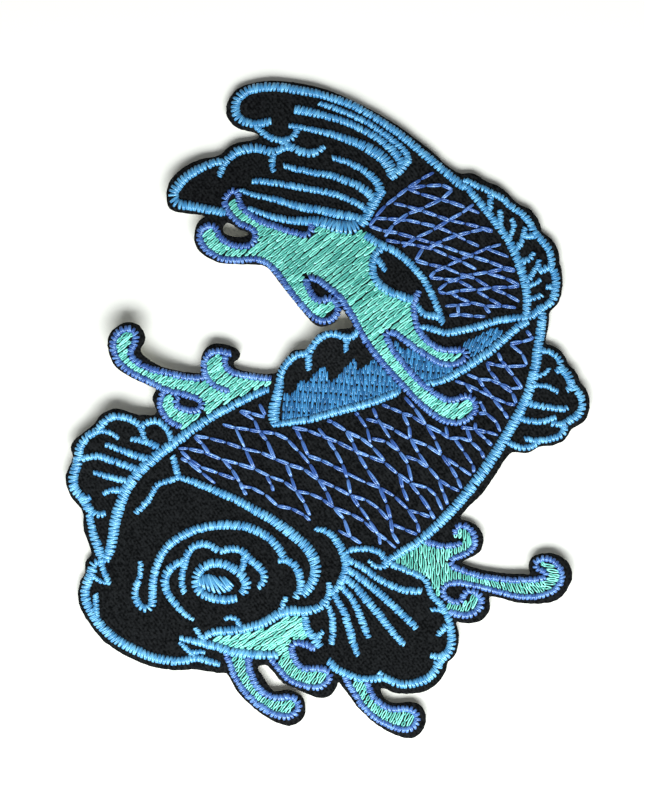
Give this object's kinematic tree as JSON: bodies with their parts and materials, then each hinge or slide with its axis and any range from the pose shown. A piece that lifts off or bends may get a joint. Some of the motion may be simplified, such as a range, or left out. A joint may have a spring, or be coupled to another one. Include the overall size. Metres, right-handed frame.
{
  "type": "embroidered iron-on patch",
  "caption": "Iron-on patch of a koi carp among water splashes: black twill with satin, fill and running stitches, stiffened and backed with heat-seal film.",
  "frame": {"origin": "centre of the patch's outline box, on the underside of the adhesive film", "axes": "+X across the patch to the right, +Y up the picture towards the tail, +Z out of the stitched face"},
  "size_m": [0.0884, 0.1112, 0.0015],
  "materials": {
    "adhesive_film": "satin heat-seal film",
    "aqua_thread": "glossy twisted thread",
    "backing_fabric": "matt non-woven",
    "black_twill": "matt woven twill",
    "bobbin_thread": "matt thin thread",
    "mid_blue_thread": "glossy twisted thread",
    "periwinkle_thread": "glossy twisted thread",
    "sky_thread": "glossy twisted thread"
  },
  "bodies": {
    "root": {"heat_seal_film": "adhesive_film", "tail_bobbin_threads": "bobbin_thread", "tail_ray_bobbin_threads": "bobbin_thread", "belly_bobbin_threads": "bobbin_thread", "back_bobbin_threads": "bobbin_thread", "face_bobbin_threads": "bobbin_thread", "cheek_bobbin_threads": "bobbin_thread", "eye_bobbin_threads": "bobbin_thread", "splash_bobbin_threads": "bobbin_thread", "stabilizer": "backing_fabric", "twill_ground": "black_twill", "upper_splash_edge_threads": "periwinkle_thread", "left_splash_edge_threads": "periwinkle_thread", "right_curl_edge_threads": "periwinkle_thread", "right_splash_edge_threads": "periwinkle_thread", "chin_curl_left_edge_threads": "periwinkle_thread", "chin_curl_right_edge_threads": "periwinkle_thread", "bottom_curl_edge_threads": "periwinkle_thread", "tail_outline_threads": "sky_thread", "tail_upper_ray_threads": "sky_thread", "tail_middle_ray_threads": "sky_thread", "tail_lower_ray_threads": "sky_thread", "back_fin_outline_threads": "sky_thread", "stalk_edge_threads": "sky_thread", "stalk_base_threads": "sky_thread", "leaf_fin_threads": "sky_thread", "dorsal_outline_threads": "sky_thread", "dorsal_border_threads": "sky_thread", "belly_outline_threads": "sky_thread", "belly_fin_outline_threads": "sky_thread", "back_outline_threads": "sky_thread", "left_fin_outline_threads": "sky_thread", "gill_strip_threads": "sky_thread", "face_outline_threads": "sky_thread", "mouth_threads": "sky_thread", "chin_upper_threads": "sky_thread", "chin_end_threads": "sky_thread", "cheek_swirl_threads": "sky_thread", "gill_cover_threads": "sky_thread", "eye_cloud_threads": "sky_thread", "eye_ring_threads": "sky_thread", "pupil_threads": "sky_thread", "pectoral_ray_threads": "sky_thread", "pectoral_short_ray_threads": "sky_thread", "pectoral_outline_threads": "sky_thread", "pectoral_top_ray_threads": "sky_thread", "stalk_scale_threads": "periwinkle_thread", "body_scale_threads": "periwinkle_thread", "upper_splash_fill_threads": "aqua_thread", "left_splash_fill_threads": "aqua_thread", "right_splash_fill_threads": "aqua_thread", "right_low_curl_fill_threads": "aqua_thread", "chin_fill_threads": "aqua_thread", "chin_curl_left_fill_threads": "aqua_thread", "chin_curl_right_fill_threads": "aqua_thread", "bottom_curl_fill_threads": "aqua_thread", "dorsal_fill_left_threads": "mid_blue_thread", "dorsal_fill_middle_threads": "mid_blue_thread", "dorsal_fill_right_threads": "mid_blue_thread"}
  },
  "joints": []
}
